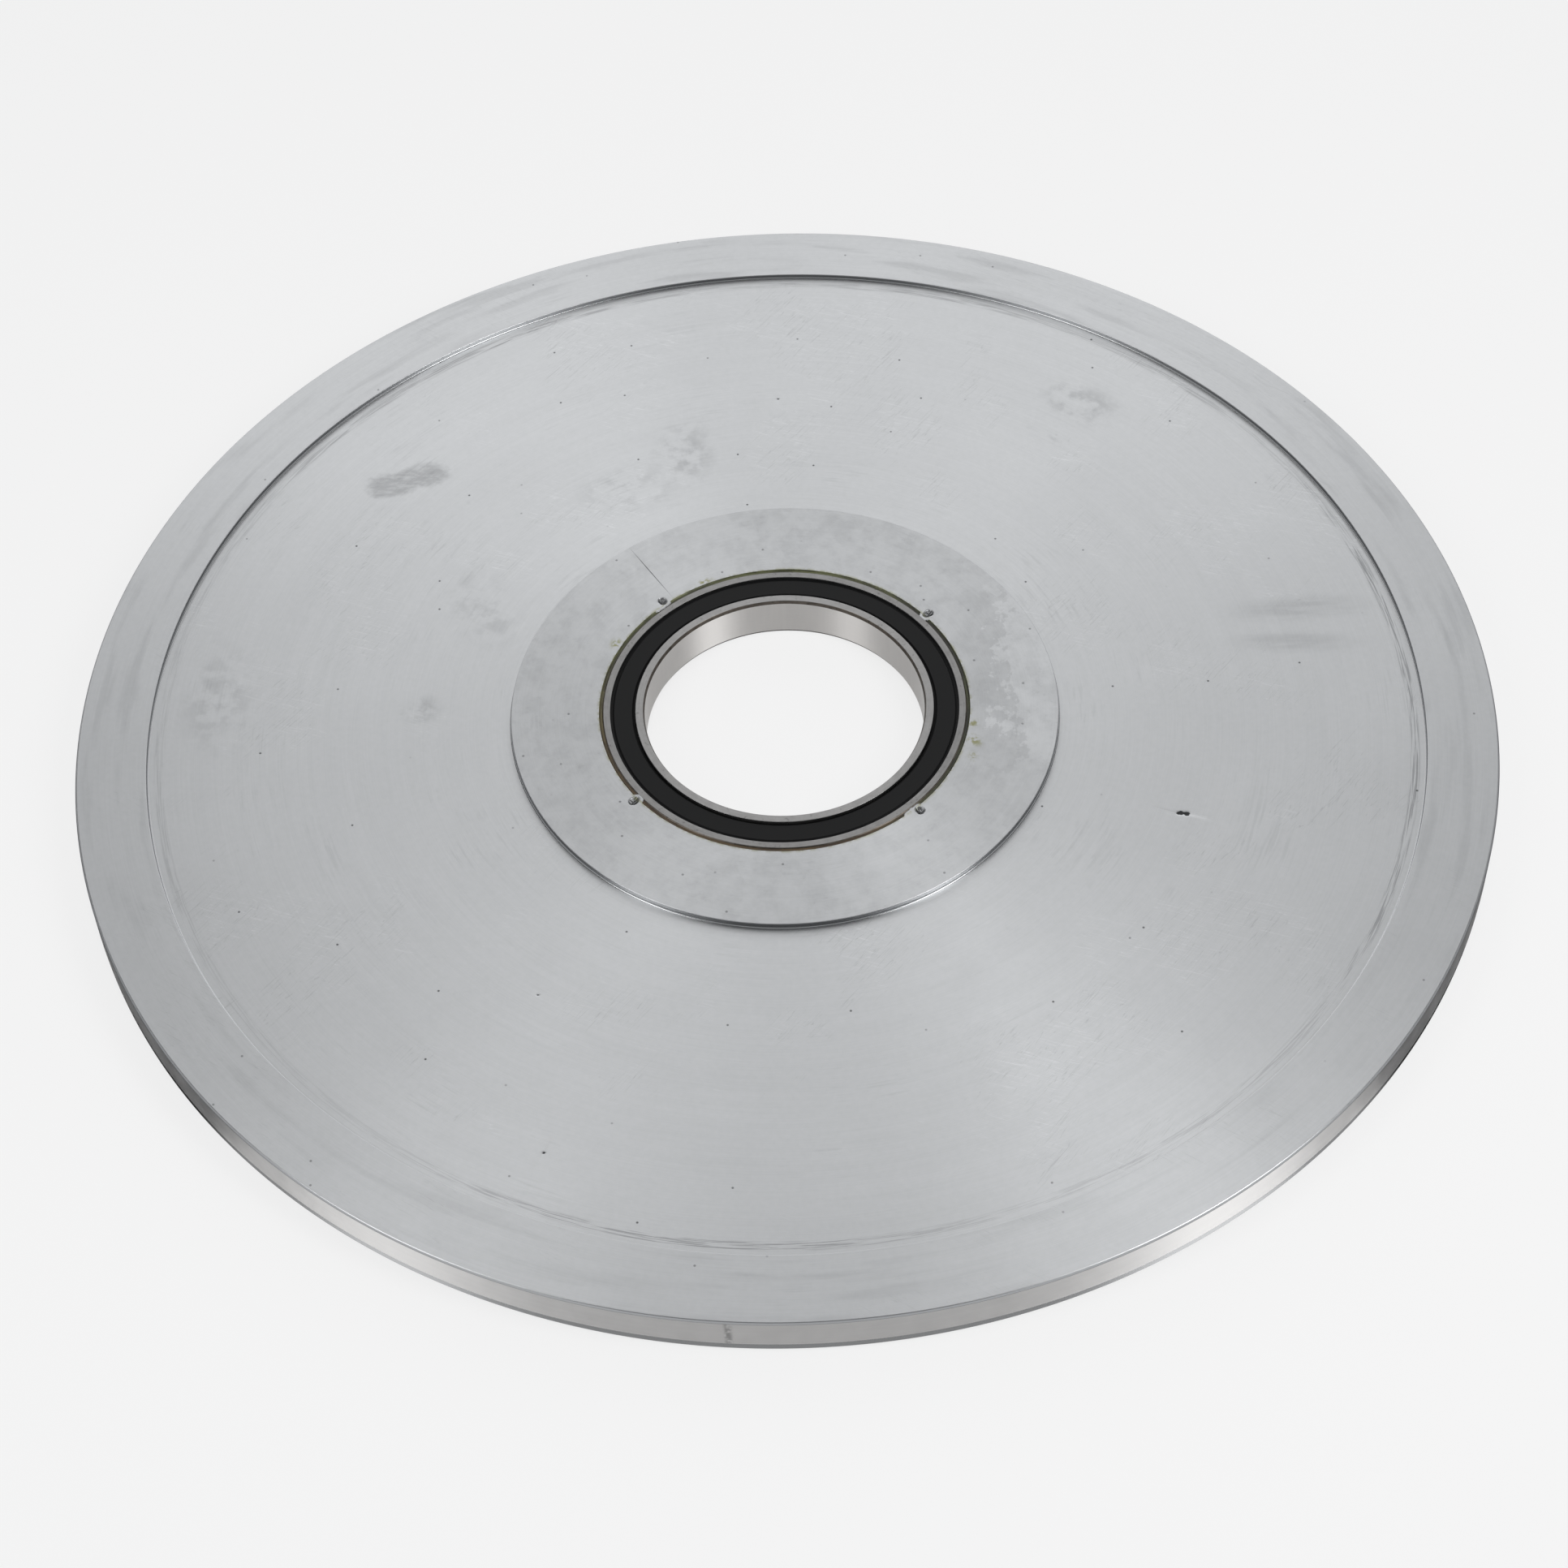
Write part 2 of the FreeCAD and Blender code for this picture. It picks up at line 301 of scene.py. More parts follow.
def disc_section():
    """The disc's outline, with close rings where the stakes and marks are."""
    bevel, fillet = edge_break, corner_round
    land = disc_edge - land_step
    face_start = seat_radius + seat_chamfer
    stake_reach, stake_spacing = 1.35, 0.1
    joint_ring = 0.08
    web_margin, web_spacing = (4.0, 3.0), 6.0
    rim_start = disc_edge - rim_chamfer - 0.1
    rim_roll, rim_roll_drop, land_rise = 0.25, 0.18, 0.16
    outline = Section(seat_radius, seat_chamfer)
    outline.to(seat_radius, hub_top - seat_chamfer, "seat", 3)
    outline.to(face_start, hub_top, "joint_edge", 4)
    outline.to(face_start + joint_ring, hub_top, "joint_edge")
    stake_rings = np.arange(face_start + 2 * joint_ring, stake_radius + stake_reach, stake_spacing)
    outline.rings(stake_rings, "hub_face")
    outline.to(hub_radius - bevel, hub_top, "hub_face", 6)
    outline.turn((hub_radius - bevel, hub_top - bevel), -90, "edge")
    outline.to(hub_radius, web_top + fillet, "hub_wall", 2)
    outline.turn((hub_radius + fillet, web_top + fillet), 90, "hub_wall")
    web_rings = [np.arange(hub_radius + web_margin[0], recess_radius - web_margin[1], web_spacing)]
    for mark in marks:
        away = hypot(mark.x, mark.y)
        span = 1.5 * max(mark.length * 0.7, mark.width)
        web_rings.append(np.arange(away - span, away + span, mark_spacing))
    rings = np.sort(np.concatenate(web_rings))
    rings = rings[np.concatenate([[True], np.diff(rings) > mark_spacing / 2])]
    outline.rings(rings, "web")
    outline.to(recess_radius - fillet, web_top, "web")
    outline.turn((recess_radius - fillet, web_top + fillet), 90, "wall")
    outline.to(recess_radius, rim_top - bevel, "wall", 2)
    outline.turn((recess_radius + bevel, rim_top - bevel), -90, "edge")
    outline.to(rim_start, rim_top, "rim_face", 4)
    outline.turn((rim_start, rim_top - rim_roll), -45, "edge", 3)
    outline.to(disc_edge - chamfer_ease, rim_top - rim_chamfer - chamfer_ease / 2, "edge")
    outline.to(disc_edge, rim_top - rim_chamfer - rim_roll_drop, "edge")
    outline.to(disc_edge, land_height + land_rise, "rim_wall", 4)
    outline.to(land, land_height, "land", 2)
    outline.to(land, foot_round, "land", 2)
    outline.turn((land - foot_round, foot_round), -90, "land", 6)
    outline.to(recess_radius + bevel, 0, "underside", 3)
    outline.turn((recess_radius + bevel, bevel), -90, "edge")
    outline.to(recess_radius, web_bottom - fillet, "wall")
    outline.turn((recess_radius - fillet, web_bottom - fillet), 90, "wall")
    outline.to(hub_radius + fillet, web_bottom, "underside", 6)
    outline.turn((hub_radius + fillet, web_bottom - fillet), 90, "wall")
    outline.to(hub_radius, bevel, "wall")
    outline.turn((hub_radius - bevel, bevel), -90, "edge")
    outline.to(face_start, 0, "underside", 4)
    outline.to(seat_radius, seat_chamfer, "edge")
    return outline


def outer_ring_section():
    """The outer race, with its seal grooves; rounded where the bearing shows."""
    top, chamfer, corner, land = ring_top, ring_chamfer, lip_corner, outer_land_radius
    groove_centre = ball_circle_radius + ball_radius + ball_play - race_groove_radius
    half_opening = (race_groove_radius ** 2 - (land - groove_centre) ** 2) ** 0.5
    sweep = degrees(2 * atan2(half_opening, land - groove_centre))
    lip_drop, groove_drop, ease = 0.45, 0.55, chamfer_ease
    outline = Section(outer_lip_radius + corner, 0)
    outline.turn((outer_lip_radius + corner, corner), -90, "ring_face", 4)
    outline.to(outer_lip_radius, lip_drop, "ring_wall")
    outline.to(seal_groove_radius, groove_drop, "ring_wall")
    outline.to(seal_groove_radius, seal_groove_drop, "ring_wall")
    outline.to(land, seal_groove_drop, "ring_wall")
    outline.to(land, top / 2 - half_opening, "ring_wall")
    outline.turn((groove_centre, top / 2), sweep, "ring_wall", 12)
    outline.to(land, top - seal_groove_drop, "ring_wall")
    outline.to(seal_groove_radius, top - seal_groove_drop, "ring_wall")
    outline.to(seal_groove_radius, top - groove_drop, "ring_wall")
    outline.to(outer_lip_radius, top - lip_drop, "ring_wall")
    outline.to(outer_lip_radius, top - corner, "ring_wall")
    outline.turn((outer_lip_radius + corner, top - corner), -90, "ring_face", 4)
    outline.to(ring_outside - chamfer, top, "ring_face", 2)
    outline.to(ring_outside - chamfer + ease, top - ease / 2, "ring_chamfer")
    outline.to(ring_outside - ease / 2, top - chamfer + ease, "ring_chamfer", 2)
    outline.to(ring_outside, top - chamfer, "ring_chamfer")
    outline.to(ring_outside, chamfer, "ring_wall", 2)
    outline.to(ring_outside - ease / 2, chamfer - ease, "ring_chamfer")
    outline.to(ring_outside - chamfer + ease, ease / 2, "ring_chamfer")
    outline.to(ring_outside - chamfer, 0, "ring_face")
    outline.to(outer_lip_radius + corner, 0, "ring_face", 2)
    return outline


def inner_ring_section():
    """The inner race, with the bore that the shaft fits."""
    top, corner, land = ring_top, lip_corner, inner_land_radius
    groove_centre = ball_circle_radius - ball_radius - ball_play + race_groove_radius
    half_opening = (race_groove_radius ** 2 - (groove_centre - land) ** 2) ** 0.5
    sweep = degrees(2 * atan2(half_opening, groove_centre - land))
    lead, rise = 0.32, 0.62
    lip_in, lip_down, ease = 0.05, 0.04, chamfer_ease
    step_drop, land_drop = 1.45, 1.7
    outline = Section(bore_radius + lead, 0)
    outline.to(bore_radius + lead - lip_in, lip_down, "ring_chamfer")
    outline.to(bore_radius + ease / 2, rise - ease, "ring_chamfer")
    outline.to(bore_radius, rise, "ring_chamfer")
    outline.to(bore_radius, top - rise, "bore", 4)
    outline.to(bore_radius + ease / 2, top - rise + ease, "ring_chamfer")
    outline.to(bore_radius + lead - lip_in, top - lip_down, "ring_chamfer", 2)
    outline.to(bore_radius + lead, top, "ring_chamfer")
    outline.to(inner_step_radius - corner, top, "inner_face", 2)
    outline.turn((inner_step_radius - corner, top - corner), -90, "inner_face", 4)
    outline.to(inner_step_radius, top - step_drop, "ring_wall")
    outline.to(land, top - land_drop, "ring_wall")
    outline.to(land, top / 2 + half_opening, "ring_wall")
    outline.turn((groove_centre, top / 2), sweep, "ring_wall", 12)
    outline.to(land, land_drop, "ring_wall")
    outline.to(inner_step_radius, step_drop, "ring_wall")
    outline.to(inner_step_radius, corner, "ring_wall")
    outline.turn((inner_step_radius - corner, corner), -90, "inner_face", 4)
    outline.to(bore_radius + lead, 0, "inner_face", 2)
    return outline


# A seal's outline in three stretches: radius, drop below the ring's face, and steps to get there
seal_tip = (29.38, 1.02)
seal_lip = ((29.38, 0.90, 1), (29.44, 0.85, 1), (29.72, 0.74, 2), (29.80, 0.68, 1), (29.91, 0.44, 2))
seal_bead = (
    (33.70, 0.62, 2),
    (33.80, 0.68, 1),
    (34.16, 0.71, 2),
    (34.30, 0.66, 1),
    (34.45, 0.62, 1),
    (34.62, 0.65, 1),
    (34.72, 0.80, 1),
    (34.72, 1.16, 1),
    (34.58, 1.30, 1),
    (33.95, 1.30, 1),
)
seal_back = (
    (33.80, 1.06, 1),
    (33.80, 0.72, 1),
    (30.60, 0.72, 1),
    (30.60, 1.06, 1),
    (30.20, 1.16, 1),
    (29.75, 1.12, 1),
    (*seal_tip, 1),
)
seal_inner_shoulder, seal_outer_shoulder, shoulder_round = 30.03, 33.42, 0.12


def seal_section(upper):
    """A rubber seal: lip, raised face, bead in the outer ring's groove, and the back with its pocket."""
    outline = Section(seal_tip[0], ring_top - seal_tip[1])
    for radius, drop, steps in seal_lip:
        outline.to(radius, ring_top - drop, "rubber", steps)
    outline.turn((seal_inner_shoulder, seal_top - shoulder_round), -80, "rubber", 5)
    outline.to(seal_outer_shoulder, seal_top, "rubber", 8)
    outline.turn((seal_outer_shoulder, seal_top - shoulder_round), -75, "rubber", 5)
    for radius, drop, steps in seal_bead + seal_back:
        outline.to(radius, ring_top - drop, "rubber", steps)
    if not upper:
        outline.points = [(radius, ring_top - height) for radius, height in reversed(outline.points)]
        outline.finishes.reverse()
    return outline


def compound_section():
    """Cured compound: a film between the ring and its seat, with a bead at each end."""
    fill_drop, sag, creep = 0.18, 0.03, 0.08
    top, foot, level = ring_top, ring_top - ring_chamfer, ring_top - fill_drop
    inner, outer = ring_outside - (level - foot), seat_radius + level - (ring_top - seat_chamfer)
    middle = (inner + outer) / 2
    outline = Section(ring_outside, top - foot)
    outline.to(ring_outside, foot, "compound")
    outline.to(inner, level, "compound", 2)
    outline.to(inner + creep, level - sag * 0.7, "compound")
    outline.to(middle, level - sag, "compound")
    outline.to(outer - creep, level - sag * 0.7, "compound")
    outline.to(outer, level, "compound")
    outline.to(seat_radius, top - seat_chamfer, "compound")
    outline.to(seat_radius, seat_chamfer, "compound")
    outline.to(outer, top - level, "compound")
    outline.to(middle, top - level + sag, "compound")
    outline.to(inner, top - level, "compound")
    outline.to(ring_outside, top - foot, "compound")
    return outline


# ---------------------------------------------------------------- finishes


def add_node(tree, kind, **settings):
    made = tree.nodes.new(kind)
    for key, value in settings.items():
        setattr(made, key, value)
    return made


class Finish:
    """A procedural material that works in part coordinates, in millimetres."""

    def __init__(self, name, metallic):
        self.material = bpy.data.materials.new(name)
        self.material.use_nodes = True
        self.tree = self.material.node_tree
        self.shader = self.tree.nodes["Principled BSDF"]
        self.shader.inputs["Metallic"].default_value = metallic
        coordinates = self.node("ShaderNodeTexCoord")
        self.place = self.vector("SCALE", coordinates.outputs["Object"], scale=1 / MM)
        split = self.node("ShaderNodeSeparateXYZ")
        self.link(self.place, split.inputs[0])
        self.x, self.y, self.z = split.outputs
        flat = self.combine(self.x, self.y, 0.0)
        self.radius = self.vector("LENGTH", flat)
        self.outward = self.vector("NORMALIZE", flat)
        self.height = None

    def node(self, kind, **settings):
        return add_node(self.tree, kind, **settings)

    def link(self, source, target):
        self.tree.links.new(source, target)

    def feed(self, target, value):
        """Link a socket, or set a plain value."""
        if isinstance(value, bpy.types.NodeSocket):
            self.link(value, target)
        else:
            target.default_value = value

    def math(self, operation, first, second=0.0):
        made = self.node("ShaderNodeMath", operation=operation)
        self.feed(made.inputs[0], first)
        self.feed(made.inputs[1], second)
        return made.outputs[0]

    def vector(self, operation, first, second=None, scale=None):
        made = self.node("ShaderNodeVectorMath", operation=operation)
        self.feed(made.inputs[0], first)
        if second is not None:
            self.feed(made.inputs[1], second)
        if scale is not None:
            self.feed(made.inputs["Scale"], scale)
        return made.outputs["Value"] if operation in ("LENGTH", "DOT_PRODUCT") else made.outputs[0]

    def combine(self, x, y, z):
        made = self.node("ShaderNodeCombineXYZ")
        for target, value in zip(made.inputs, (x, y, z)):
            self.feed(target, value)
        return made.outputs[0]

    def window(self, value, low, high):
        """0 below low, 1 above high, smooth between; low may be above high."""
        made = self.node("ShaderNodeMapRange", interpolation_type="SMOOTHSTEP")
        self.feed(made.inputs["Value"], value)
        made.inputs["From Min"].default_value = low
        made.inputs["From Max"].default_value = high
        return made.outputs[0]

    def noise(self, scale, detail=2.0, seed=0.0, vector=None, roughness=0.5, distortion=0.0):
        """Noise around 0.5; scale is in cycles per mm of the vector given."""
        made = self.node("ShaderNodeTexNoise", noise_dimensions="4D")
        self.link(vector or self.place, made.inputs["Vector"])
        made.inputs["W"].default_value = seed
        made.inputs["Scale"].default_value = scale
        made.inputs["Detail"].default_value = detail
        made.inputs["Roughness"].default_value = roughness
        made.inputs["Distortion"].default_value = distortion
        return made.outputs["Fac"]

    def lathe_marks(self, across, around, detail=2.0, seed=0.0):
        """Noise drawn out round the axis: across per mm of radius, around per turn."""
        turn = self.vector("SCALE", self.outward, scale=around)
        step = self.math("MULTIPLY", self.math("ADD", self.radius, self.z), across)
        return self.noise(1.0, detail, seed, self.vector("ADD", turn, self.combine(0.0, 0.0, step)))

    def spot(self, x, y, length, width, tilt=0.0):
        """1 at a point of the plan, falling smoothly to 0 at the rim of an ellipse."""
        moved = self.vector("SUBTRACT", self.place, (x, y, 0.0))
        turned = self.node("ShaderNodeVectorRotate", rotation_type="Z_AXIS")
        self.link(moved, turned.inputs["Vector"])
        turned.inputs["Angle"].default_value = -radians(tilt)
        squeezed = self.vector("MULTIPLY", turned.outputs[0], (1 / length, 1 / width, 0.0))
        return self.window(self.vector("LENGTH", squeezed), 1.0, 0.15)

    def times(self, *values):
        result = values[0]
        for value in values[1:]:
            result = self.math("MULTIPLY", result, value)
        return result

    def plus(self, *values):
        result = values[0]
        for value in values[1:]:
            result = self.math("ADD", result, value)
        return result

    def most(self, *values):
        result = values[0]
        for value in values[1:]:
            result = self.math("MAXIMUM", result, value)
        return result

    def around_zero(self, value, amount):
        """Noise about 0.5 turned into a swing of plus or minus amount."""
        return self.math("MULTIPLY", self.math("SUBTRACT", value, 0.5), 2 * amount)

    def mix(self, factor, first, second, blend="MIX"):
        made = self.node("ShaderNodeMix", data_type="RGBA", blend_type=blend)
        self.feed(made.inputs["Factor"], factor)
        for target, value in ((made.inputs[6], first), (made.inputs[7], second)):
            self.feed(target, value)
        return made.outputs[2]

    def shade(self, colour, amount):
        """A colour times a grey amount."""
        made = self.node("ShaderNodeCombineColor")
        for target in made.inputs:
            self.link(amount, target)
        return self.mix(1.0, colour, made.outputs[0], "MULTIPLY")

    def spots(self, rows):
        """The strongest of several spots: x, y, length, width, tilt and strength of each."""
        return self.most(*(self.times(self.spot(*place), strength) for *place, strength in rows))

    def scratches(self, seed, tilt):
        """Thin broken hairlines that lie one way."""
        turned = self.node("ShaderNodeVectorRotate", rotation_type="Z_AXIS")
        self.link(self.place, turned.inputs["Vector"])
        turned.inputs["Angle"].default_value = radians(tilt)
        along, across = 0.056, 1.44
        drawn = self.vector("MULTIPLY", turned.outputs[0], (along, across, 0.0))
        lines = self.noise(1.0, 2, seed, drawn, distortion=0.3)
        thin = self.window(self.math("ABSOLUTE", self.math("SUBTRACT", lines, 0.5)), 0.012, 0.0)
        return self.times(thin, self.window(self.noise(0.05, 2, seed + 7), 0.52, 0.64))

    def specks(self, spacing, size, seed):
        """Small dark specks of a radius in mm, in about half the cells of a plan this far apart."""
        cells = self.node("ShaderNodeTexVoronoi", voronoi_dimensions="2D", feature="F1")
        self.link(self.vector("ADD", self.place, (seed * 100.0, 0.0, 0.0)), cells.inputs["Vector"])
        cells.inputs["Scale"].default_value = 1 / spacing
        reach = self.window(cells.outputs["Distance"], size / spacing, 0.4 * size / spacing)
        split = self.node("ShaderNodeSeparateColor")
        self.link(cells.outputs["Color"], split.inputs[0])
        return self.times(reach, self.window(split.outputs[0], 0.35, 0.75))

    def bump(self, height, distance):
        """Adds a bump, in mm, to the ones there already."""
        made = self.node("ShaderNodeBump")
        made.inputs["Distance"].default_value = distance * MM
        self.link(height, made.inputs["Height"])
        if self.height:
            self.link(self.height, made.inputs["Normal"])
        self.height = made.outputs[0]

    def brushed_round(self, amount):
        """Grooves that run round the axis: the gloss spreads across them."""
        tangent = self.node("ShaderNodeTangent", direction_type="RADIAL", axis="Z")
        self.link(tangent.outputs[0], self.shader.inputs["Tangent"])
        self.shader.inputs["Anisotropic"].default_value = amount
        self.shader.inputs["Anisotropic Rotation"].default_value = 0.25

    def done(self, colour, roughness):
        self.feed(self.shader.inputs["Base Color"], colour)
        self.feed(self.shader.inputs["Roughness"], roughness)
        if self.height:
            self.link(self.height, self.shader.inputs["Normal"])
        return self.material


def grey(value, warm=0.0):
    """Neutral colour of a linear value, warmer or cooler by a small share."""
    return (value * (1 + warm), value, value * (1 - warm), 1.0)


ALUMINIUM = grey(1.0, -0.017)
OLIVE = (0.20, 0.20, 0.085, 1.0)


def turned_face(name, level, seed, extras, roughness=0.355):
    """Fine-turned aluminium face with handling marks."""
    f = Finish(name, 1.0)
    f.brushed_round(0.70)
    broad = f.noise(0.018, 3, seed)
    cloud = f.noise(0.07, 4, seed + 1, roughness=0.6)
    grain = f.noise(0.9, 3, seed + 2)
    bands = f.lathe_marks(0.45, 1.6, 2, seed + 3)
    lines = f.lathe_marks(4.0, 3.0, 2, seed + 4)
    arcs = f.lathe_marks(1.6, 9.0, 3, seed + 5)
    value = f.plus(
        level,
        f.around_zero(broad, 0.030),
        f.around_zero(cloud, 0.030),
        f.around_zero(grain, 0.020),
        f.around_zero(bands, 0.012),
        f.around_zero(lines, 0.022),
        f.around_zero(arcs, 0.012),
    )
    rubbed = f.times(f.window(cloud, 0.52, 0.70), f.window(arcs, 0.50, 0.64))
    value = f.plus(value, f.times(rubbed, -0.035))
    rough = f.plus(roughness, f.around_zero(cloud, 0.05), f.around_zero(arcs, 0.035))
    value, rough, stain = extras(f, value, rough)
    f.bump(lines, 0.0035)
    f.bump(grain, 0.0025)
    colour = f.shade(ALUMINIUM, value)
    if stain:
        colour = f.mix(stain, colour, OLIVE)
    return f.done(colour, rough)


# Spots in plan, for smudges, wiped streaks, the painted shade of the nick and seeped compound:
# x, y, length, width, tilt in degrees, and strength
web_smudges = (
    (-18.9, 72.0, 9.0, 13.0, 0, 0.9),
    (-30.0, 62.0, 16.0, 9.0, 10, 0.6),
    (65.4, 82.2, 12.0, 8.0, -30, 0.9),
    (-71.6, 3.6, 5.5, 5.0, 0, 1.0),
    (-112.0, 8.4, 10.0, 20.0, 0, 0.7),
    (-60.0, 30.0, 9.0, 16.0, 20, 0.6),
)
web_wipes = ((104.0, 21.5, 19.0, 4.6, 2, 1.0), (102.0, 12.5, 17.0, 3.8, -4, 1.0))
web_nick_shade = ((74.7, -29.9, 1.25, 0.80, 0, 1.0), (76.0, -30.2, 0.95, 0.75, 0, 1.0))
joint_seeps = (
    (36.6, -10.8, 2.6, 1.8, -50, 1.0),
    (36.6, -6.6, 2.2, 1.4, 20, 1.0),
    (36.0, -14.8, 1.4, 1.8, 0, 1.0),
    (-15.2, 33.8, 2.6, 1.3, 25, 1.0),
    (-33.0, 17.6, 1.8, 2.8, 0, 1.0),
)


def web_extras(f, value, rough):
    """Smudges, the scuffed ring by the step, and painted shade in the nick and pits."""
    smudges = f.spots(web_smudges)
    patchy = f.window(f.noise(0.28, 4, 31, roughness=0.65), 0.42, 0.62)
    wiped = f.spots(web_wipes)
    streaky = f.window(f.noise(1.0, 3, 39, f.vector("MULTIPLY", f.place, (0.10, 0.9, 1.0))), 0.36, 0.60)
    smudge = f.most(f.times(smudges, patchy), f.times(wiped, f.plus(0.30, f.times(streaky, 0.35))))
    print_mark = f.spot(-77.6, 67.0, 15.5, 6.2, 22)
    edge = f.noise(0.16, 4, 33, roughness=0.6)
    feathered = f.noise(0.9, 4, 35, f.vector("MULTIPLY", f.place, (0.35, 1.2, 1.0)), roughness=0.7)
    body = f.window(f.plus(print_mark, f.around_zero(edge, 1.1)), 0.35, 0.80)
    finger = f.times(body, f.plus(0.45, f.times(f.window(feathered, 0.36, 0.58), 0.55)))
    value = f.plus(value, f.times(smudge, -0.060), f.times(finger, -0.085))
    rough = f.plus(rough, f.times(f.most(smudge, finger), 0.08))
    scuff_radius = recess_radius - 2.25
    ring = f.window(f.math("ABSOLUTE", f.math("SUBTRACT", f.radius, scuff_radius)), 1.2, 0.5)
    broken = f.window(f.lathe_marks(4.5, 14.0, 3, 37), 0.47, 0.58)
    run = f.window(f.lathe_marks(0.01, 1.3, 1, 41), 0.35, 0.62)
    scuff = f.times(ring, broken, f.plus(0.3, f.times(run, 0.7)))
    value = f.plus(value, f.times(scuff, -0.12))
    rough = f.plus(rough, f.times(scuff, 0.12))
    value = f.plus(value, f.times(f.specks(19.0, 0.31, 5.0), -0.32))
    value = f.plus(value, f.times(f.scratches(51, 20), 0.06), f.times(f.scratches(57, -50), -0.07))
    # Painted shade: the web's colour is darkened inside the nick and the pits, where they sink below the
    # face.
    nick_shade_area = f.spots(web_nick_shade)
    ragged = f.window(f.plus(nick_shade_area, f.around_zero(f.noise(2.2, 3, 43), 0.9)), 0.40, 0.52)
    pit_painted_shade = f.most(f.window(f.z, web_top - 0.03, web_top - 0.10), f.times(ragged, f.window(nick_shade_area, 0.0, 0.2)))
    value = f.times(value, f.plus(1.0, f.times(pit_painted_shade, -0.88)))
    return value, f.plus(rough, f.times(pit_painted_shade, 0.25)), None


def rim_extras(f, value, rough):
    """Rubbed arcs and a darker handled tone."""
    wiped = f.window(f.lathe_marks(0.35, 5.0, 4, 61), 0.50, 0.68)
    value = f.plus(value, f.times(wiped, -0.020), f.times(f.specks(17.0, 0.32, 9.0), -0.2))
    value = f.plus(value, f.times(f.scratches(67, 35), -0.04))
    return value, f.plus(rough, f.times(wiped, 0.05)), None


def bare_tongue(f):
    """1 where a stake has pushed the hub's metal in past its chamfer."""
    pushed_in = f.math("SUBTRACT", f.radius, f.z)
    chamfer = seat_radius + seat_chamfer - hub_top
    return f.window(pushed_in, chamfer - 0.06, chamfer - 0.20)


def hub_extras(f, value, rough):
    """Mottled film, a paler dried patch, painted shade in the stake dents, green stains by the joint, and one
    long scratch.
    """
    patches = f.window(f.noise(0.22, 6, 71, roughness=0.72, distortion=0.3), 0.40, 0.64)
    value = f.plus(value, f.times(patches, -0.020))
    rough = f.plus(rough, f.times(patches, 0.04))
    wander = f.around_zero(f.noise(0.13, 6, 73, roughness=0.68), 15.0)
    film_start, film_full = 43.3, 44.1
    tide = f.window(f.plus(f.x, wander), film_start, film_full)
    film = f.times(tide, f.window(f.y, -24.0, -12.0), f.window(f.y, 34.0, 24.0))
    flecks = f.window(f.noise(0.9, 4, 77, roughness=0.7), 0.56, 0.66)
    inside = f.times(f.math("SUBTRACT", 1.0, tide), f.spot(41.0, 6.0, 9.0, 34.0, 0))
    value = f.plus(value, f.times(film, 0.045), f.times(flecks, film, -0.03), f.times(inside, -0.02))
    value = f.plus(value, f.times(f.window(f.noise(0.7, 5, 79, roughness=0.7), 0.52, 0.70), patches, -0.03))
    # Painted shade: the hub's colour is darkened inside the stake dents, below its top face.
    stake_painted_shade = f.window(f.z, hub_top - 0.02, hub_top - 0.16)
    value = f.times(value, f.plus(1.0, f.times(stake_painted_shade, -0.62)))
    scratch = f.spot(-26.0, 37.0, 10.5, 0.13, -58.5)
    value = f.plus(value, f.times(scratch, -0.34), f.times(f.specks(10.0, 0.34, 13.0), -0.2))
    wet_edge, dry_edge = 36.3, 37.1
    seep = f.most(f.spots(joint_seeps), f.times(f.window(f.radius, dry_edge, wet_edge), 0.7))
    dried = f.window(f.noise(0.9, 5, 75, roughness=0.65), 0.42, 0.58)
    stain = f.times(seep, dried, f.math("SUBTRACT", 1.0, bare_tongue(f)), 0.85)
    return value, rough, stain


def underside_extras(f, value, rough):
    """A few wiped patches."""
    wiped = f.window(f.noise(0.05, 4, 81, roughness=0.6), 0.50, 0.66)
    return f.plus(value, f.times(wiped, -0.04)), f.plus(rough, f.times(wiped, 0.06)), None


def polished_wall(name, level, roughness, seed):
    """Bright-turned step: smooth along the groove, with fine lines round it."""
    f = Finish(name, 1.0)
    f.brushed_round(0.75)
    lines = f.lathe_marks(7.0, 2.0, 2, seed)
    worn = f.noise(0.35, 4, seed + 1, roughness=0.6)
    value = f.times(level, f.plus(1.0, f.around_zero(lines, 0.03), f.around_zero(worn, 0.06)))
    rough = f.plus(roughness, f.around_zero(worn, 0.02))
    f.bump(worn, 0.001)
    return f.done(f.shade(ALUMINIUM, value), rough)


def rim_wall_finish():
    """Satin-turned outer wall with one dark stain."""
    f = Finish("rim_wall", 1.0)
    f.brushed_round(0.9)
    lines = f.lathe_marks(6.0, 2.0, 2, 91)
    worn = f.noise(0.25, 4, 92, roughness=0.6)
    stain_angle = radians(264.2)
    stain_x, stain_y = disc_edge * cos(stain_angle), disc_edge * sin(stain_angle)
    stain = f.times(f.spot(stain_x, stain_y, 1.1, 3.0), f.window(f.noise(0.8, 3, 93), 0.35, 0.6))
    value = f.plus(0.84, f.around_zero(lines, 0.05), f.around_zero(worn, 0.05), f.times(stain, -0.4))
    rough = f.plus(0.33, f.around_zero(worn, 0.06), f.times(stain, 0.2))
    f.bump(lines, 0.003)
    return f.done(f.shade(grey(1.0, 0.012), value), rough)


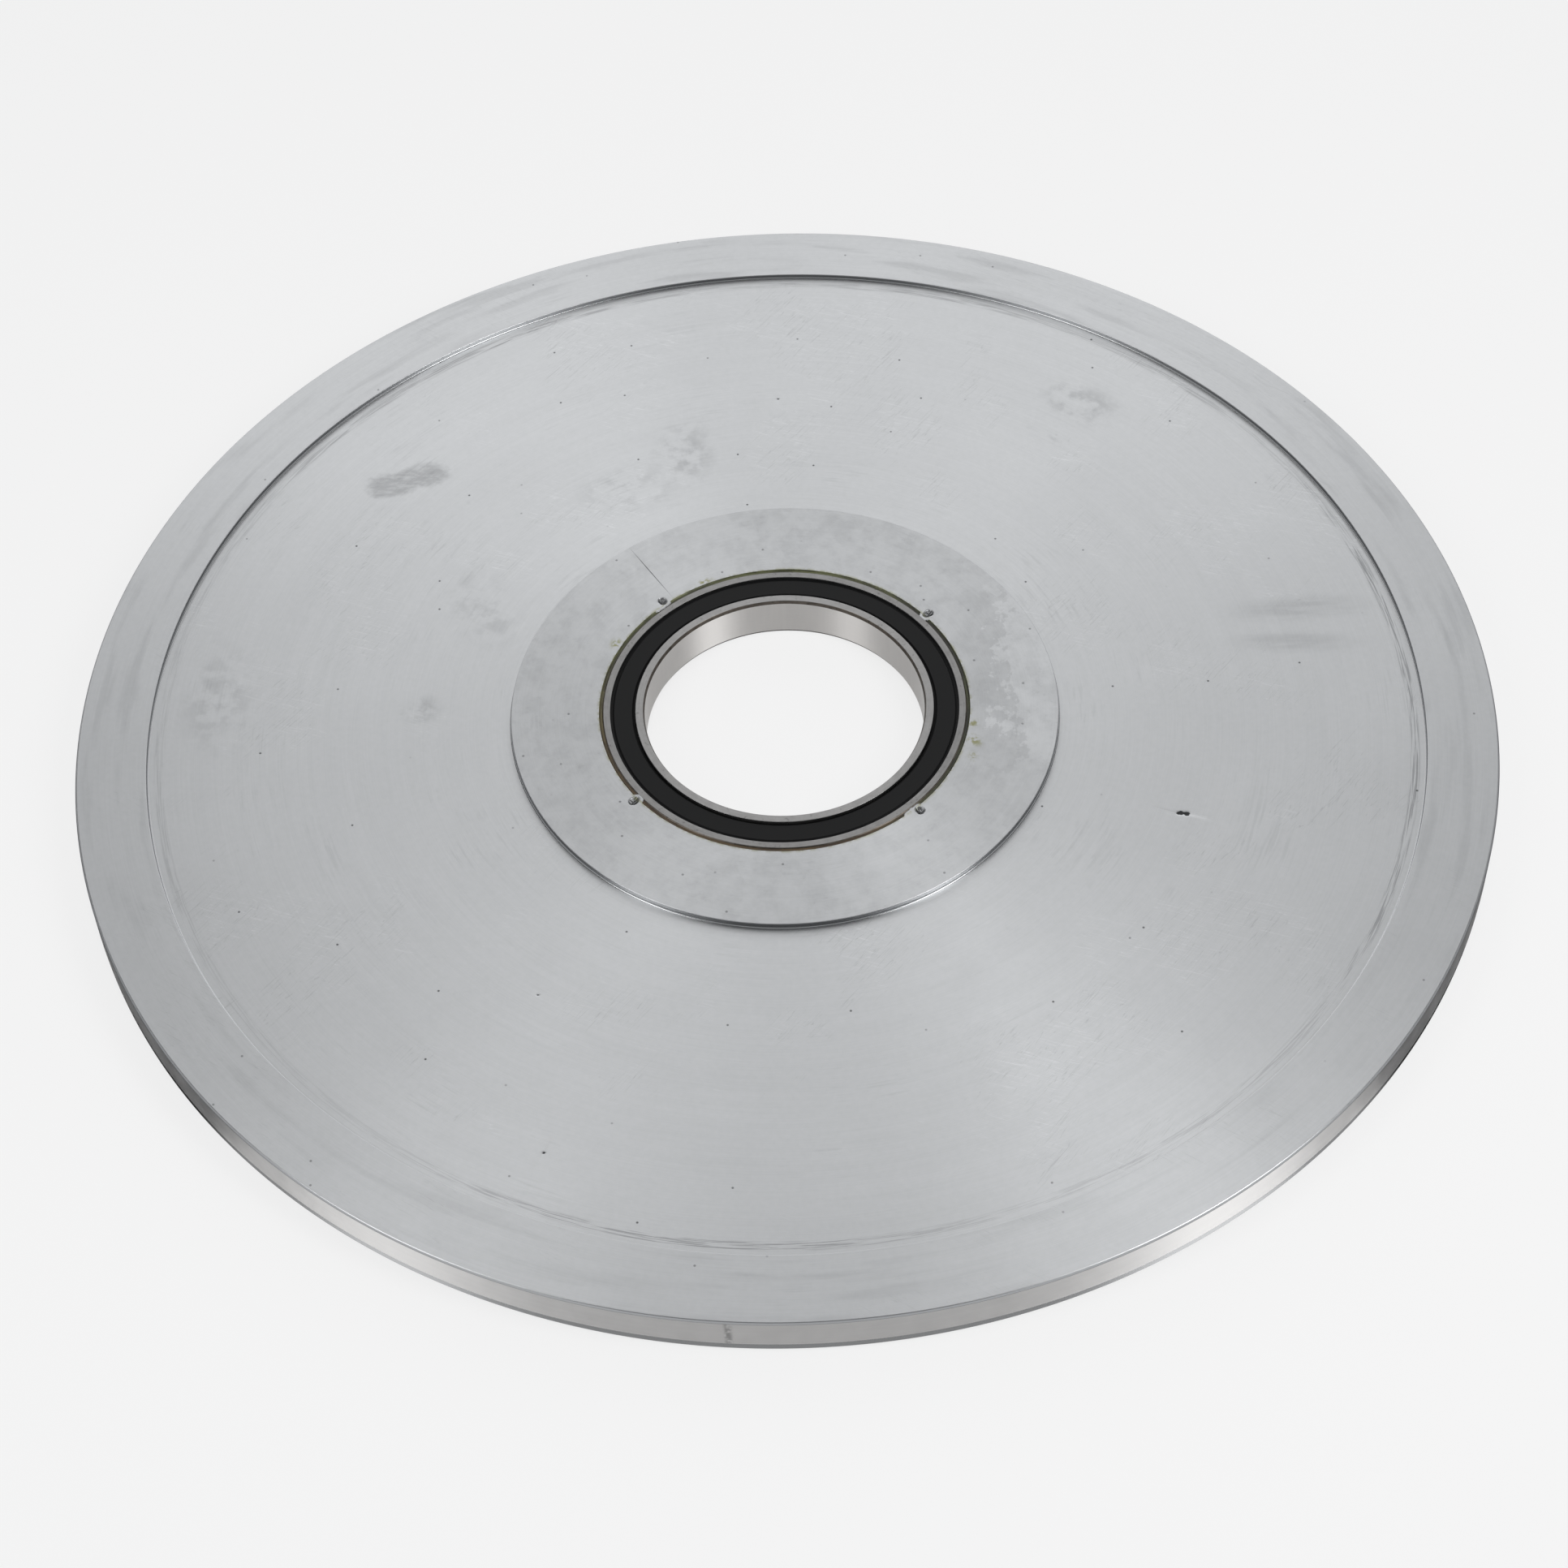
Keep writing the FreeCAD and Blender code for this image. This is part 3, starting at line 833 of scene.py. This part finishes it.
def steel(name, level, roughness, seed, warm=0.012):
    """Ground bearing steel with circular grinding lines and light wear."""
    f = Finish(name, 1.0)
    f.brushed_round(0.5)
    lines = f.lathe_marks(9.0, 6.0, 2, seed)
    worn = f.noise(0.6, 4, seed + 1, roughness=0.65)
    spots = f.window(f.noise(1.6, 3, seed + 2), 0.60, 0.72)
    value = f.plus(level, f.around_zero(lines, 0.05), f.around_zero(worn, 0.06), f.times(spots, -0.05))
    rough = f.plus(roughness, f.around_zero(worn, 0.08), f.times(spots, 0.06))
    f.bump(lines, 0.002)
    return f.done(f.shade(grey(1.0, warm), value), rough)


def bore_wall():
    """Honed bore: even and satin, with faint marks along and round it."""
    f = Finish("bore_wall", 1.0)
    f.brushed_round(0.25)
    lines = f.lathe_marks(5.0, 5.0, 2, 137)
    drawn = f.combine(f.times(f.x, 1.4), f.times(f.y, 1.4), f.times(f.z, 0.15))
    along = f.noise(1.0, 3, 138, drawn)
    value = f.plus(0.77, f.around_zero(lines, 0.02), f.around_zero(along, 0.03))
    rough = f.plus(0.42, f.around_zero(along, 0.05))
    f.bump(lines, 0.0008)
    return f.done(f.shade(grey(1.0, 0.025), value), rough)


def rubber():
    """Matt black moulded nitrile with fine texture and a little dust."""
    f = Finish("seal_rubber", 0.0)
    f.shader.inputs["Specular IOR Level"].default_value = 0.13
    grain = f.noise(7.0, 3, 101)
    cloud = f.noise(0.3, 4, 102, roughness=0.6)
    dust = f.window(f.noise(2.2, 4, 103, roughness=0.7), 0.64, 0.78)
    value = f.plus(0.006, f.around_zero(cloud, 0.002), f.times(dust, 0.006))
    rough = f.plus(0.55, f.around_zero(cloud, 0.08), f.times(dust, 0.15))
    f.bump(grain, 0.006)
    return f.done(f.shade(grey(1.0, -0.02), value), rough)


def compound():
    """Cured anaerobic compound: olive green, browner and thinner in places."""
    f = Finish("retaining_compound", 0.0)
    f.shader.inputs["Specular IOR Level"].default_value = 0.30
    patches = f.noise(0.12, 4, 111, roughness=0.6)
    fine = f.noise(2.4, 3, 112)
    rough = f.plus(0.38, f.around_zero(fine, 0.12))
    f.bump(fine, 0.02)
    return f.done(joint_tint(f, patches), rough)


def joint_tint(f, patches):
    """Colour of the compound: brown in front, nearly black on the right, greener at the back."""
    pick = f.window(patches, 0.40, 0.62)
    brown = f.mix(pick, (0.028, 0.015, 0.005, 1), (0.062, 0.038, 0.013, 1))
    green = f.mix(pick, (0.030, 0.032, 0.012, 1), (0.085, 0.090, 0.038, 1))
    dark = f.mix(pick, (0.011, 0.011, 0.006, 1), (0.036, 0.040, 0.014, 1))
    colour = f.mix(f.window(f.y, -22.0, 26.0), brown, green)
    return f.mix(f.window(f.x, 14.0, 30.0), colour, dark)


def joint_edge():
    """The hub's inner chamfer, stained by the compound but bare on the tongues of the stakes."""
    f = Finish("joint_edge", 0.35)
    patches = f.noise(0.35, 4, 115, roughness=0.6)
    fine = f.noise(3.0, 3, 116)
    metal = f.shade(ALUMINIUM, f.plus(0.30, f.around_zero(fine, 0.10)))
    f.bump(fine, 0.01)
    colour = f.mix(bare_tongue(f), joint_tint(f, patches), metal)
    return f.done(colour, f.plus(0.42, f.around_zero(fine, 0.15)))


def plain_metal(name, level, roughness, seed, scale=1.2):
    """Bright metal for the pieces inside the bearing, with light wear and oil film."""
    f = Finish(name, 1.0)
    worn = f.noise(scale, 4, seed, roughness=0.6)
    fine = f.noise(scale * 9, 2, seed + 1)
    value = f.plus(level, f.around_zero(worn, 0.06), f.around_zero(fine, 0.03))
    rough = f.plus(roughness, f.around_zero(worn, 0.05))
    f.bump(fine, 0.001)
    return f.done(f.shade(grey(1.0, 0.01), value), rough)


looks = {
    "web": turned_face("aluminium_web", level=0.43, seed=1.0, extras=web_extras),
    "rim_face": turned_face("aluminium_rim", level=0.42, seed=11.0, extras=rim_extras),
    "hub_face": turned_face("aluminium_hub", level=0.41, seed=21.0, extras=hub_extras, roughness=0.40),
    "underside": turned_face("aluminium_underside", level=0.46, seed=25.0, extras=underside_extras),
    # The step and hub walls are real polished metal set darker than the turned faces: painted shade for the
    # dark surroundings they reflect.
    "wall": polished_wall("aluminium_step", level=0.34, roughness=0.22, seed=85.0),
    "hub_wall": polished_wall("aluminium_hub_step", level=0.35, roughness=0.18, seed=86.0),
    "edge": polished_wall("aluminium_edge", level=0.42, roughness=0.32, seed=87.0),
    "joint_edge": joint_edge(),
    # The land is a real polished band at the rim's foot, set darker than the rim wall as painted shade along
    # the bottom of the rim.
    "land": polished_wall("aluminium_land", level=0.50, roughness=0.24, seed=89.0),
    "seat": polished_wall("aluminium_seat", level=0.70, roughness=0.30, seed=90.0),
    "rim_wall": rim_wall_finish(),
    "ring_face": steel("outer_ring_face", level=0.185, roughness=0.34, seed=121.0),
    "inner_face": steel("inner_ring_face", level=0.225, roughness=0.34, seed=125.0),
    # The rings' chamfers: the same steel painted far darker and warmer than their faces, a painted dark
    # reflection along the ring edges.
    "ring_chamfer": steel("ring_chamfer", level=0.085, roughness=0.32, seed=129.0, warm=0.14),
    "ring_wall": steel("ring_groove", level=0.50, roughness=0.22, seed=133.0),
    "bore": bore_wall(),
    "rubber": rubber(),
    "compound": compound(),
}

cage_steel = plain_metal("cage_steel", level=0.48, roughness=0.30, seed=141.0)
rivet_steel = plain_metal("rivet_steel", level=0.52, roughness=0.26, seed=143.0, scale=2.0)
insert_steel = plain_metal("insert_steel", level=0.45, roughness=0.36, seed=145.0)
ball_steel = plain_metal("ball_steel", level=0.66, roughness=0.07, seed=147.0)

# CAD nodes that keep their shape, by the start of the name
node_looks = {
    "cage_rivets": rivet_steel,
    "cage_upper": cage_steel,
    "cage_lower": cage_steel,
    "ball_": ball_steel,
    "upper_seal_insert": insert_steel,
    "lower_seal_insert": insert_steel,
}

# ---------------------------------------------------------------- pieces

stake_half_angle, stake_step = radians(3.4), radians(0.2)
plain_angles = even_angles(360)
disc_angles = with_fine(plain_angles, [radians(a) for a in stake_angles], stake_half_angle, stake_step)
for mark in marks:
    away = hypot(mark.x, mark.y)
    half_width = 1.5 * mark.length / away
    disc_angles = with_fine(disc_angles, [atan2(mark.y, mark.x) % tau], half_width, mark_spacing / away)

disc = lathe("disc_body", disc_section(), disc_angles, looks, bend_disc)
outer_ring = lathe("outer_ring_body", outer_ring_section(), plain_angles, looks)
inner_ring = lathe("inner_ring_body", inner_ring_section(), plain_angles, looks)
upper_seal = lathe("upper_seal_rubber", seal_section(True), plain_angles, looks)
lower_seal = lathe("lower_seal_rubber", seal_section(False), plain_angles, looks)
bead = lathe("retaining_compound_bead", compound_section(), plain_angles, looks)

for piece, node, body, slot in (
    (disc, "disc", "wheel", "turned_aluminium"),
    (outer_ring, "outer_ring", "wheel", "outer_ring_steel"),
    (inner_ring, "inner_ring", "inner_race", "inner_ring_steel"),
    (upper_seal, "upper_seal", "wheel", "seal_rubber"),
    (lower_seal, "lower_seal", "wheel", "seal_rubber"),
    (bead, "retaining_compound", "wheel", "retaining_compound"),
):
    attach(piece, body)
    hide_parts(node)

for name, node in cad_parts.items():
    for start, look in node_looks.items():
        if name.startswith(start):
            for slot in node.material_slots:
                slot.material = look

# ---------------------------------------------------------------- floor, light and camera

floor_glow = 0.768
floor_gap = 0.00005
floor_reach = 8.0
floor_shades = (0.12, 0.13)
plate_mirror = 0.13
plate_glow = 0.37
white = (1, 1, 1, 1)


def new_material(name):
    """A node material, its tree and its shader."""
    material = bpy.data.materials.new(name)
    material.use_nodes = True
    return material, material.node_tree, material.node_tree.nodes["Principled BSDF"]


def floor_material():
    """Pale paper that glows, as on a light table."""
    material, tree, shader = new_material("floor_white")
    noise = add_node(tree, "ShaderNodeTexNoise")
    noise.inputs["Scale"].default_value = 6.0
    ramp = add_node(tree, "ShaderNodeMapRange")
    ramp.inputs["To Min"].default_value, ramp.inputs["To Max"].default_value = floor_shades
    tree.links.new(noise.outputs["Fac"], ramp.inputs["Value"])
    tree.links.new(ramp.outputs[0], shader.inputs["Base Color"])
    shader.inputs["Roughness"].default_value = 0.9
    shader.inputs["Specular IOR Level"].default_value = 0.0
    shader.inputs["Emission Color"].default_value = white
    shader.inputs["Emission Strength"].default_value = floor_glow
    return material


def plate_material():
    """What the polished walls see of the ground: a dim mirror, pale in front and in the bore."""
    material, tree, shader = new_material("plate")
    shader.inputs["Base Color"].default_value = (plate_mirror, plate_mirror, plate_mirror, 1)
    shader.inputs["Metallic"].default_value = 1.0
    shader.inputs["Roughness"].default_value = 0.12
    coordinates = add_node(tree, "ShaderNodeTexCoord")
    distance = add_node(tree, "ShaderNodeVectorMath", operation="LENGTH")
    outward = add_node(tree, "ShaderNodeVectorMath", operation="NORMALIZE")
    front = add_node(tree, "ShaderNodeVectorMath", operation="DOT_PRODUCT")
    tree.links.new(coordinates.outputs["Object"], distance.inputs[0])
    tree.links.new(coordinates.outputs["Object"], outward.inputs[0])
    tree.links.new(outward.outputs[0], front.inputs[0])
    front.inputs[1].default_value = (0.0, -1.0, 0.0)
    glow = add_node(tree, "ShaderNodeMath", operation="MAXIMUM")
    front_starts, front_full = 0.60, 0.70
    for target, source, low, high in (
        (glow.inputs[0], front.outputs["Value"], front_starts, front_full),
        (glow.inputs[1], distance.outputs["Value"], 1.05 * bore_radius * MM, bore_radius * MM),
    ):
        fade = add_node(tree, "ShaderNodeMapRange", interpolation_type="SMOOTHSTEP")
        tree.links.new(source, fade.inputs["Value"])
        fade.inputs["From Min"].default_value = low
        fade.inputs["From Max"].default_value = high
        fade.inputs["To Max"].default_value = plate_glow
        tree.links.new(fade.outputs[0], target)
    tree.links.new(glow.outputs[0], shader.inputs["Emission Strength"])
    shader.inputs["Emission Color"].default_value = white
    return material


def level_square(name, height, material):
    """Large level square round the axis; it's part of the stage."""
    mesh = bpy.data.meshes.new(name)
    corners = [(-1, -1), (1, -1), (1, 1), (-1, 1)]
    mesh.from_pydata([(x * floor_reach, y * floor_reach, height) for x, y in corners], [], [(0, 1, 2, 3)])
    mesh.materials.append(material)
    square = bpy.data.objects.new(name, mesh)
    bpy.context.scene.collection.objects.link(square)
    return square


floor = level_square("floor", cad_low.z - 2 * floor_gap, floor_material())
floor.visible_glossy = False
plate = level_square("plate", cad_low.z - floor_gap, plate_material())
plate.visible_camera = False
plate.visible_diffuse = False
plate.visible_shadow = False


# Soft boxes: name, azimuth and elevation in degrees, distance, width and height in metres, and
# radiance, which is what a mirror would show of the box
soft_boxes = (
    ("back_panel", 90, 45, 1.6, 1.25, 1.85, 1.12),
    ("left_box", 209, 50, 0.6, 0.17, 0.34, 5.0),
    ("right_box", 330, 50, 0.6, 0.19, 0.34, 7.5),
)


def direction_to(azimuth, elevation):
    """Unit vector for an azimuth and elevation in degrees."""
    a, e = radians(azimuth), radians(elevation)
    return Vector((cos(a) * cos(e), sin(a) * cos(e), sin(e)))


def soft_light(name, azimuth, elevation, distance, width, height, radiance):
    """A soft box that faces the part."""
    place = direction_to(azimuth, elevation) * distance
    data = bpy.data.lights.new(name, "AREA")
    data.shape = "RECTANGLE"
    data.size = width
    data.size_y = height
    data.energy = radiance * pi * width * height
    light = bpy.data.objects.new(name, data)
    light.location = place
    light.rotation_mode = "QUATERNION"
    light.rotation_quaternion = (-place).to_track_quat("-Z", "Y")
    light.visible_camera = False
    bpy.context.scene.collection.objects.link(light)


for box in soft_boxes:
    soft_light(*box)

# Light of the studio by the height of the direction, from level, 0, to straight up, 1
studio_levels = ((0.0, 1.05), (0.35, 0.95), (0.60, 0.70), (0.85, 0.15), (1.0, 0.70))
studio_colour = (0.97, 0.98, 1.0, 1)
# Dim sides of the studio: azimuth, elevation and reach in degrees, and the share of light left
dark_sides = ((270, 50, 40, 0.50), (148, 46, 30, 0.15), (25, 46, 28, 0.35))


def studio_world():
    """Pale walls low down, a dimmer top, and dark gaps behind the camera and beside the panel."""
    made = bpy.data.worlds.new("studio")
    made.use_nodes = True
    tree = made.node_tree
    direction = add_node(tree, "ShaderNodeTexCoord").outputs["Generated"]
    split = add_node(tree, "ShaderNodeSeparateXYZ")
    tree.links.new(direction, split.inputs[0])
    levels = add_node(tree, "ShaderNodeFloatCurve")
    curve = levels.mapping.curves[0]
    curve.points[0].location = studio_levels[0]
    curve.points[-1].location = studio_levels[-1]
    for height, value in studio_levels[1:-1]:
        curve.points.new(height, value)
    levels.mapping.update()
    tree.links.new(split.outputs["Z"], levels.inputs["Value"])
    strength = levels.outputs[0]
    for azimuth, elevation, reach, level in dark_sides:
        facing = add_node(tree, "ShaderNodeVectorMath", operation="DOT_PRODUCT")
        tree.links.new(direction, facing.inputs[0])
        facing.inputs[1].default_value = direction_to(azimuth, elevation)
        dark = add_node(tree, "ShaderNodeMapRange", interpolation_type="SMOOTHSTEP")
        dark.inputs["From Min"].default_value = cos(radians(reach))
        dark.inputs["From Max"].default_value = cos(radians(reach / 2))
        dark.inputs["To Min"].default_value = 1.0
        dark.inputs["To Max"].default_value = level
        tree.links.new(facing.outputs["Value"], dark.inputs["Value"])
        dimmed = add_node(tree, "ShaderNodeMath", operation="MULTIPLY")
        tree.links.new(strength, dimmed.inputs[0])
        tree.links.new(dark.outputs[0], dimmed.inputs[1])
        strength = dimmed.outputs[0]
    background = tree.nodes["Background"]
    background.inputs["Color"].default_value = studio_colour
    tree.links.new(strength, background.inputs["Strength"])
    return made


bpy.context.scene.world = studio_world()
bpy.context.scene.view_settings.view_transform = "Standard"

camera_place = Vector((-0.7, -433.9, 513.7)) * MM
camera_elevation = radians(50.641)
camera_roll = radians(-2.278)

camera_data = bpy.data.cameras.new("camera")
camera_data.sensor_width = 36.0
camera_data.lens = 77.845
camera_data.clip_start = 0.01
camera_data.clip_end = 100.0
camera = bpy.data.objects.new("camera", camera_data)
forward = Vector((0, cos(camera_elevation), -sin(camera_elevation)))
level_up = Vector((0, sin(camera_elevation), cos(camera_elevation)))
level_right = Vector((1, 0, 0))
right = level_right * cos(camera_roll) + level_up * sin(camera_roll)
up = level_up * cos(camera_roll) - level_right * sin(camera_roll)
camera.matrix_world = Matrix.Translation(camera_place) @ Matrix((right, up, -forward)).transposed().to_4x4()
bpy.context.scene.collection.objects.link(camera)
bpy.context.scene.camera = camera
